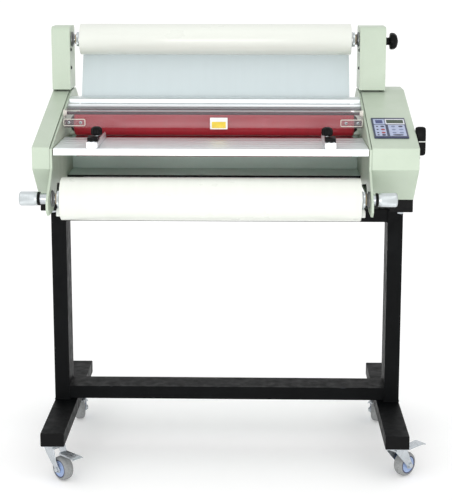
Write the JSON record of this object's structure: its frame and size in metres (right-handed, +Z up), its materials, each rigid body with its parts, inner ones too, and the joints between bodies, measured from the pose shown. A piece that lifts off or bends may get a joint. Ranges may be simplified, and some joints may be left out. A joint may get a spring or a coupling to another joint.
{
  "type": "roll laminator",
  "caption": "Wheeled roll laminator for wide prints: film rolls above and below, red pressure rollers, feed table with side guides, side housings with keypad, tube stand.",
  "frame": {"origin": "on the floor, under the middle of the overall width and depth", "axes": "+X to the operator's right, along the rollers; +Y away from the operator; +Z up"},
  "size_m": [0.8985, 0.5806, 0.9792],
  "materials": {
    "stand_black": "satin black powder coat",
    "zinc": "bright zinc-plated pressed steel",
    "caster_tread": "grey moulded tread on a pale hub",
    "body_paint": "fine textured pale sage powder coat",
    "panel_paint": "satin grey-green paint",
    "aluminium": "satin anodised, fine drawn lines",
    "steel": "turned and ground steel",
    "silicone": "smooth deep red silicone rubber",
    "nylon": "natural nylon",
    "film": "wound clear laminating film, milky satin",
    "clear_shield": "clear acrylic",
    "black_plastic": "moulded black plastic",
    "keypad": "membrane keypad, blue and navy"
  },
  "bodies": {
    "root": {"stand_foot_left": "stand_black", "stand_foot_right": "stand_black", "stand_leg_left": "stand_black", "stand_leg_right": "stand_black", "stand_crossbar_upper": "stand_black", "stand_crossbar_lower": "stand_black", "stand_top_beam_left": "stand_black", "stand_top_beam_right": "stand_black", "caster_plate_front_left": "zinc", "caster_plate_front_right": "zinc", "caster_plate_rear_left": "zinc", "caster_plate_rear_right": "zinc", "base_pan": "stand_black", "side_cover_left": "body_paint", "side_housing_right": "body_paint", "film_arm_left": "body_paint", "film_arm_right": "body_paint", "side_plate_left": "body_paint", "side_plate_right": "body_paint", "exit_shelf": "body_paint", "lower_rear_panel": "panel_paint", "top_rail": "aluminium", "lower_idler_rod": "steel", "shield_rod": "steel", "drive_motor": "steel", "film_web_top": "film", "control_panel": "keypad"},
    "caster_front_left_swivel": {"caster_fork_front_left": "zinc"},
    "caster_front_left_wheel": {"caster_wheel_front_left": "caster_tread"},
    "caster_front_left_brake": {"caster_brake_front_left": "zinc"},
    "caster_front_right_swivel": {"caster_fork_front_right": "zinc"},
    "caster_front_right_wheel": {"caster_wheel_front_right": "caster_tread"},
    "caster_front_right_brake": {"caster_brake_front_right": "zinc"},
    "caster_rear_left_swivel": {"caster_fork_rear_left": "zinc"},
    "caster_rear_left_wheel": {"caster_wheel_rear_left": "caster_tread"},
    "caster_rear_left_brake": {"caster_brake_rear_left": "zinc"},
    "caster_rear_right_swivel": {"caster_fork_rear_right": "zinc"},
    "caster_rear_right_wheel": {"caster_wheel_rear_right": "caster_tread"},
    "caster_rear_right_brake": {"caster_brake_rear_right": "zinc"},
    "feed_table": {"feed_table": "aluminium"},
    "side_guide_left": {"side_guide_left": "aluminium"},
    "side_guide_right": {"side_guide_right": "aluminium"},
    "guide_knob_left": {"side_guide_left_knob": "black_plastic"},
    "guide_knob_right": {"side_guide_right_knob": "black_plastic"},
    "shield": {"roller_shield": "clear_shield"},
    "upper_carriage": {"bearing_block_left": "nylon", "bearing_block_right": "nylon"},
    "upper_roller": {"pressure_roller_upper": "silicone"},
    "lower_roller": {"pressure_roller_lower": "silicone", "drive_gear": "steel"},
    "motor_shaft": {"motor_pinion": "nylon"},
    "top_film": {"film_roll_top": "film", "film_shaft_top": "steel"},
    "lower_film": {"film_roll_lower": "film", "film_shaft_lower": "steel"},
    "film_brake_knob": {"film_brake_knob_top": "black_plastic"},
    "tension_knob_left": {"film_tension_knob_left": "aluminium"},
    "tension_knob_right": {"film_tension_knob_right": "aluminium"},
    "pressure_lever": {"pressure_lever": "black_plastic"}
  },
  "joints": [
    {"name": "caster_front_left_swivel", "type": "hinge", "parent": "root", "child": "caster_front_left_swivel", "pos_m": [-0.37975, -0.22173, 0.0744], "axis": [0, 0, 1], "continuous": true},
    {"name": "caster_front_left_roll", "type": "hinge", "parent": "caster_front_left_swivel", "child": "caster_front_left_wheel", "pos_m": [-0.35817, -0.24257, 0.027], "axis": [0.6947, 0.7193, 0], "continuous": true},
    {"name": "caster_front_left_brake_press", "type": "hinge", "parent": "caster_front_left_swivel", "child": "caster_front_left_brake", "pos_m": [-0.35565, -0.245, 0.0625], "axis": [0.6947, 0.7193, 0], "range_deg": [0, 12]},
    {"name": "caster_front_right_swivel", "type": "hinge", "parent": "root", "child": "caster_front_right_swivel", "pos_m": [0.37725, -0.22173, 0.0744], "axis": [0, 0, 1], "continuous": true},
    {"name": "caster_front_right_roll", "type": "hinge", "parent": "caster_front_right_swivel", "child": "caster_front_right_wheel", "pos_m": [0.39954, -0.20166, 0.027], "axis": [-0.6691, 0.7431, 0], "continuous": true},
    {"name": "caster_front_right_brake_press", "type": "hinge", "parent": "caster_front_right_swivel", "child": "caster_front_right_brake", "pos_m": [0.40214, -0.19931, 0.0625], "axis": [-0.6691, 0.7431, 0], "range_deg": [0, 12]},
    {"name": "caster_rear_left_swivel", "type": "hinge", "parent": "root", "child": "caster_rear_left_swivel", "pos_m": [-0.37975, 0.16027, 0.0744], "axis": [0, 0, 1], "continuous": true},
    {"name": "caster_rear_left_roll", "type": "hinge", "parent": "caster_rear_left_swivel", "child": "caster_rear_left_wheel", "pos_m": [-0.37199, 0.13129, 0.027], "axis": [0.9659, 0.2588, 0], "continuous": true},
    {"name": "caster_rear_left_brake_press", "type": "hinge", "parent": "caster_rear_left_swivel", "child": "caster_rear_left_brake", "pos_m": [-0.37108, 0.12791, 0.0625], "axis": [0.9659, 0.2588, 0], "range_deg": [0, 12]},
    {"name": "caster_rear_right_swivel", "type": "hinge", "parent": "root", "child": "caster_rear_right_swivel", "pos_m": [0.37725, 0.16027, 0.0744], "axis": [0, 0, 1], "continuous": true},
    {"name": "caster_rear_right_roll", "type": "hinge", "parent": "caster_rear_right_swivel", "child": "caster_rear_right_wheel", "pos_m": [0.36949, 0.13129, 0.027], "axis": [0.9659, -0.2588, 0], "continuous": true},
    {"name": "caster_rear_right_brake_press", "type": "hinge", "parent": "caster_rear_right_swivel", "child": "caster_rear_right_brake", "pos_m": [0.36858, 0.12791, 0.0625], "axis": [0.9659, -0.2588, 0], "range_deg": [0, 12]},
    {"name": "feed_table_pull", "type": "slide", "parent": "root", "child": "feed_table", "axis": [0, -1, 0], "range_m": [0, 0.15]},
    {"name": "side_guide_left_slide", "type": "slide", "parent": "feed_table", "child": "side_guide_left", "axis": [1, 0, 0], "range_m": [-0.06, 0.2]},
    {"name": "side_guide_right_slide", "type": "slide", "parent": "feed_table", "child": "side_guide_right", "axis": [1, 0, 0], "range_m": [-0.2, 0.06]},
    {"name": "guide_knob_left_turn", "type": "hinge", "parent": "side_guide_left", "child": "guide_knob_left", "pos_m": [-0.28575, -0.12173, 0.7503], "axis": [0, 0, 1], "range_deg": [0, 540]},
    {"name": "guide_knob_right_turn", "type": "hinge", "parent": "side_guide_right", "child": "guide_knob_right", "pos_m": [0.22175, -0.12173, 0.7503], "axis": [0, 0, 1], "range_deg": [0, 540]},
    {"name": "shield_swing", "type": "hinge", "parent": "root", "child": "shield", "pos_m": [-0.03125, 0.01427, 0.7835], "axis": [-1, 0, 0], "range_deg": [0, 95]},
    {"name": "upper_roller_lift", "type": "slide", "parent": "root", "child": "upper_carriage", "axis": [0, 0, 1], "range_m": [0, 0.01]},
    {"name": "pressure_lever_turn", "type": "hinge", "parent": "root", "child": "pressure_lever", "pos_m": [0.42105, -0.07573, 0.734], "axis": [1, 0, 0], "range_deg": [0, 90]},
    {"name": "lower_roller_spin", "type": "hinge", "parent": "root", "child": "lower_roller", "pos_m": [-0.03225, 0.05127, 0.7017], "axis": [1, 0, 0], "continuous": true},
    {"name": "upper_roller_spin", "type": "hinge", "parent": "upper_carriage", "child": "upper_roller", "pos_m": [-0.03225, 0.05127, 0.7548], "axis": [1, 0, 0], "continuous": true},
    {"name": "motor_shaft_spin", "type": "hinge", "parent": "root", "child": "motor_shaft", "pos_m": [0.32975, 0.07596, 0.66772], "axis": [1, 0, 0], "continuous": true},
    {"name": "top_film_unwind", "type": "hinge", "parent": "root", "child": "top_film", "pos_m": [-0.03225, 0.17827, 0.942], "axis": [1, 0, 0], "continuous": true},
    {"name": "lower_film_unwind", "type": "hinge", "parent": "root", "child": "lower_film", "pos_m": [-0.03225, -0.17973, 0.6205], "axis": [1, 0, 0], "continuous": true},
    {"name": "film_brake_knob_turn", "type": "hinge", "parent": "root", "child": "film_brake_knob", "pos_m": [0.37455, 0.17827, 0.938], "axis": [1, 0, 0], "range_deg": [0, 720]},
    {"name": "tension_knob_left_turn", "type": "hinge", "parent": "root", "child": "tension_knob_left", "pos_m": [-0.40525, -0.17973, 0.6205], "axis": [1, 0, 0], "range_deg": [0, 720]},
    {"name": "tension_knob_right_turn", "type": "hinge", "parent": "root", "child": "tension_knob_right", "pos_m": [0.32675, -0.17973, 0.6205], "axis": [1, 0, 0], "range_deg": [0, 720]}
  ],
  "couplings": [
    {"joint": "pressure_lever_turn", "follows": "upper_roller_lift", "rad_per_m": 157.07},
    {"joint": "upper_roller_spin", "follows": "lower_roller_spin", "ratio": -0.875},
    {"joint": "motor_shaft_spin", "follows": "lower_roller_spin", "ratio": -2}
  ]
}
